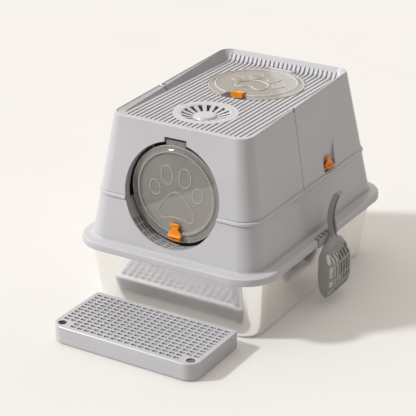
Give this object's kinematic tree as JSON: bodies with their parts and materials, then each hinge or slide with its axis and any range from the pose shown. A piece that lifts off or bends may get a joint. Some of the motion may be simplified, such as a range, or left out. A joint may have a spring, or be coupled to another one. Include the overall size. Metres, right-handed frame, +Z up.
{
  "type": "enclosed cat litter box",
  "caption": "Enclosed cat litter box: a steel pan under a lift-off frame and a two-part ribbed hood, with a swinging round door, a hinged top lid, a filtered vent, a scoop and a step.",
  "frame": {"origin": "on the floor under the middle of the steel pan", "axes": "+Z up, -Y towards the entry and the step, +X towards the side with the scoop"},
  "size_m": [0.4947, 0.773, 0.4404],
  "materials": {
    "pan_steel": "pressed stainless steel, polished almost to a mirror",
    "grey_plastic": "light grey moulded plastic with a soft satin surface",
    "dark_plastic": "dark grey moulded plastic, satin",
    "orange_plastic": "orange moulded plastic, slightly glossy",
    "clear_plastic": "clear plastic with a faint smoky tint, polished",
    "pin_steel": "drawn steel pin",
    "filter_felt": "black carbon-filled felt",
    "foot_rubber": "black soft rubber pads"
  },
  "bodies": {
    "pan": {"steel_pan": "pan_steel"},
    "frame": {"base_frame": "grey_plastic", "sill_grate": "grey_plastic", "scoop_holder": "dark_plastic"},
    "rear_hood": {"rear_hood": "grey_plastic", "hood_hinge_pins": "pin_steel", "top_lid_pin": "pin_steel", "side_latch_pins": "pin_steel"},
    "front_hood": {"front_hood": "grey_plastic", "front_door_pin": "pin_steel", "filter_cage": "grey_plastic", "carbon_filter": "filter_felt"},
    "front_door": {"front_door": "clear_plastic"},
    "front_door_latch": {"front_door_latch": "orange_plastic"},
    "top_lid": {"top_lid": "clear_plastic"},
    "top_lid_latch": {"top_lid_latch": "orange_plastic"},
    "side_latch_right": {"side_latch_right": "orange_plastic"},
    "side_latch_left": {"side_latch_left": "orange_plastic"},
    "vent_grille": {"vent_grille": "grey_plastic"},
    "scoop": {"scoop": "dark_plastic"},
    "step": {"step_tray": "grey_plastic", "step_feet": "foot_rubber"},
    "step_grille": {"step_grille": "grey_plastic"}
  },
  "joints": [
    {"name": "frame_lift", "type": "slide", "parent": "pan", "child": "frame", "axis": [0, 0, 1], "range_m": [0, 0.15]},
    {"name": "hood_lift", "type": "slide", "parent": "frame", "child": "rear_hood", "axis": [0, 0, 1], "range_m": [0, 0.12]},
    {"name": "front_hood_hinge", "type": "hinge", "parent": "rear_hood", "child": "front_hood", "pos_m": [0, -0.045, 0.421], "axis": [-1, 0, 0], "range_deg": [0, 95]},
    {"name": "front_door_swing", "type": "hinge", "parent": "front_hood", "child": "front_door", "pos_m": [0, -0.23137, 0.38944], "axis": [1, 0, 0], "range_deg": [-40, 75]},
    {"name": "front_door_latch_slide", "type": "slide", "parent": "front_door", "child": "front_door_latch", "axis": [0, 0, 1], "range_m": [-0.006, 0]},
    {"name": "top_lid_hinge", "type": "hinge", "parent": "rear_hood", "child": "top_lid", "pos_m": [0, 0.198, 0.418], "axis": [-1, 0, 0], "range_deg": [0, 100]},
    {"name": "top_lid_latch_slide", "type": "slide", "parent": "top_lid", "child": "top_lid_latch", "axis": [0, 1, 0], "range_m": [0, 0.005]},
    {"name": "side_latch_right_turn", "type": "hinge", "parent": "rear_hood", "child": "side_latch_right", "pos_m": [0.18551, 0.0765, 0.2673], "axis": [0, 1, 0], "range_deg": [0, 40]},
    {"name": "side_latch_left_turn", "type": "hinge", "parent": "rear_hood", "child": "side_latch_left", "pos_m": [-0.18551, 0.0765, 0.2673], "axis": [0, -1, 0], "range_deg": [0, 40]},
    {"name": "vent_twist", "type": "hinge", "parent": "front_hood", "child": "vent_grille", "pos_m": [0, -0.126, 0.415], "axis": [0, 0, 1], "range_deg": [0, 30]},
    {"name": "scoop_lift", "type": "slide", "parent": "frame", "child": "scoop", "axis": [0.5, 0, 0.866], "range_m": [0, 0.08]},
    {"name": "step_slide", "type": "slide", "parent": "pan", "child": "step", "axis": [0, -1, 0], "range_m": [0, 0.2]},
    {"name": "step_grille_lift", "type": "slide", "parent": "step", "child": "step_grille", "axis": [0, 0, 1], "range_m": [0, 0.06]}
  ]
}
